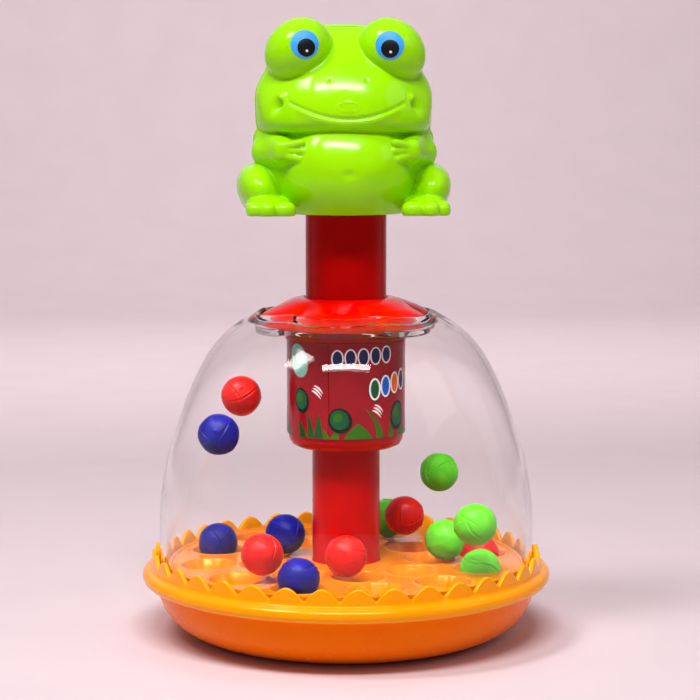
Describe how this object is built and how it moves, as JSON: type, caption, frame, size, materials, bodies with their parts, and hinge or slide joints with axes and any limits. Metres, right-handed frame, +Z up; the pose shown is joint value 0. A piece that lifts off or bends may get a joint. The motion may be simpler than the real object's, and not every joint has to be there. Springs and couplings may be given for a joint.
{
  "type": "frog ball popper toy",
  "caption": "Press-down spinning ball popper with a frog push knob, clear dome, cupped deck and scalloped round base.",
  "frame": {"origin": "centre of the flat underside, on the toy's own axis", "axes": "+Z up along the plunger, the frog faces -Y, +X to the right of someone who looks at its face"},
  "size_m": [0.17, 0.17, 0.2542],
  "materials": {
    "bowl_orange": "opaque injection-moulded plastic, semi-gloss, orange-yellow",
    "rim_yellow": "opaque yellow plastic, semi-gloss",
    "deck_orange": "polished orange-yellow plastic, high gloss",
    "dome_clear": "clear polystyrene, polished, fine handling scratches",
    "collar_red": "bright red plastic, high gloss",
    "column_red": "deep red plastic, glossy",
    "label_print": null,
    "steel": "zinc-plated steel",
    "nylon": "natural nylon",
    "ball_red": "soft moulded plastic, satin, with mould burrs",
    "ball_blue": "soft moulded plastic, satin, with mould burrs",
    "ball_green": "soft moulded plastic, satin, with mould burrs",
    "frog_lime": "glossy lime green blow-moulded plastic",
    "iris_blue": "printed light blue",
    "pupil_black": "printed black"
  },
  "bodies": {
    "base": {"base_bowl": "bowl_orange", "crown_ring": "rim_yellow", "dome": "dome_clear", "collar_cap": "collar_red", "canister": "column_red", "label_sleeve": "label_print", "return_spring": "steel", "axle_pin": "steel", "thrust_washer": "nylon", "axle_screw": "steel"},
    "plunger": {"plunger_tube": "column_red", "drive_rod": "steel", "rod_pin": "steel", "frog_front": "frog_lime", "frog_back": "frog_lime", "frog_seat": "frog_lime", "frog_screw_1": "steel", "frog_screw_2": "steel", "iris_left": "iris_blue", "pupil_left": "pupil_black", "iris_right": "iris_blue", "pupil_right": "pupil_black"},
    "drive_nut": {"drive_nut": "nylon"},
    "rotor": {"lower_column": "column_red", "rotor_deck": "deck_orange"},
    "ball_red_1": {"ball_red_1": "ball_red"},
    "ball_red_2": {"ball_red_2": "ball_red"},
    "ball_red_3": {"ball_red_3": "ball_red"},
    "ball_red_4": {"ball_red_4": "ball_red"},
    "ball_red_5": {"ball_red_5": "ball_red"},
    "ball_blue_1": {"ball_blue_1": "ball_blue"},
    "ball_blue_2": {"ball_blue_2": "ball_blue"},
    "ball_blue_3": {"ball_blue_3": "ball_blue"},
    "ball_blue_4": {"ball_blue_4": "ball_blue"},
    "ball_green_1": {"ball_green_1": "ball_green"},
    "ball_green_2": {"ball_green_2": "ball_green"},
    "ball_green_3": {"ball_green_3": "ball_green"},
    "ball_green_4": {"ball_green_4": "ball_green"},
    "ball_green_5": {"ball_green_5": "ball_green"}
  },
  "joints": [
    {"name": "plunger_slide", "type": "slide", "parent": "base", "child": "plunger", "axis": [0, 0, -1], "range_m": [0, 0.03], "stiffness_N_per_m": 130, "springref_m": -0.03, "deforming": ["return_spring"]},
    {"name": "nut_spin", "type": "hinge", "parent": "base", "child": "drive_nut", "pos_m": [0, 0, 0.0785], "axis": [0, 0, 1], "range_deg": [-2, 273]},
    {"name": "rotor_spin", "type": "hinge", "parent": "base", "child": "rotor", "pos_m": [0, 0, 0.03], "axis": [0, 0, 1], "continuous": true},
    {"name": "ball_red_1_hop", "type": "slide", "parent": "rotor", "child": "ball_red_1", "axis": [0, 0, 1], "range_m": [-0.0593, 0.0163]},
    {"name": "ball_red_2_hop", "type": "slide", "parent": "rotor", "child": "ball_red_2", "axis": [0, 0, 1], "range_m": [-0.007, 0.07]},
    {"name": "ball_red_3_hop", "type": "slide", "parent": "rotor", "child": "ball_red_3", "axis": [0, 0, 1], "range_m": [-0.0024, 0.0517]},
    {"name": "ball_red_4_hop", "type": "slide", "parent": "rotor", "child": "ball_red_4", "axis": [0, 0, 1], "range_m": [-0.0016, 0.07]},
    {"name": "ball_red_5_hop", "type": "slide", "parent": "rotor", "child": "ball_red_5", "axis": [0, 0, 1], "range_m": [0, 0.056]},
    {"name": "ball_blue_1_hop", "type": "slide", "parent": "rotor", "child": "ball_blue_1", "axis": [0, 0, 1], "range_m": [-0.0471, 0.0112]},
    {"name": "ball_blue_2_hop", "type": "slide", "parent": "rotor", "child": "ball_blue_2", "axis": [0, 0, 1], "range_m": [0, 0.0305]},
    {"name": "ball_blue_3_hop", "type": "slide", "parent": "rotor", "child": "ball_blue_3", "axis": [0, 0, 1], "range_m": [-0.0034, 0.0525]},
    {"name": "ball_blue_4_hop", "type": "slide", "parent": "rotor", "child": "ball_blue_4", "axis": [0, 0, 1], "range_m": [-0.0041, 0.052]},
    {"name": "ball_green_1_hop", "type": "slide", "parent": "rotor", "child": "ball_green_1", "axis": [0, 0, 1], "range_m": [-0.0251, 0.0355]},
    {"name": "ball_green_2_hop", "type": "slide", "parent": "rotor", "child": "ball_green_2", "axis": [0, 0, 1], "range_m": [-0.0009, 0.07]},
    {"name": "ball_green_3_hop", "type": "slide", "parent": "rotor", "child": "ball_green_3", "axis": [0, 0, 1], "range_m": [-0.0131, 0.0118]},
    {"name": "ball_green_4_hop", "type": "slide", "parent": "rotor", "child": "ball_green_4", "axis": [0, 0, 1], "range_m": [0, 0.07]},
    {"name": "ball_green_5_hop", "type": "slide", "parent": "rotor", "child": "ball_green_5", "axis": [0, 0, 1], "range_m": [0, 0.056]}
  ],
  "couplings": [
    {"joint": "nut_spin", "follows": "plunger_slide", "rad_per_m": 157.08}
  ]
}
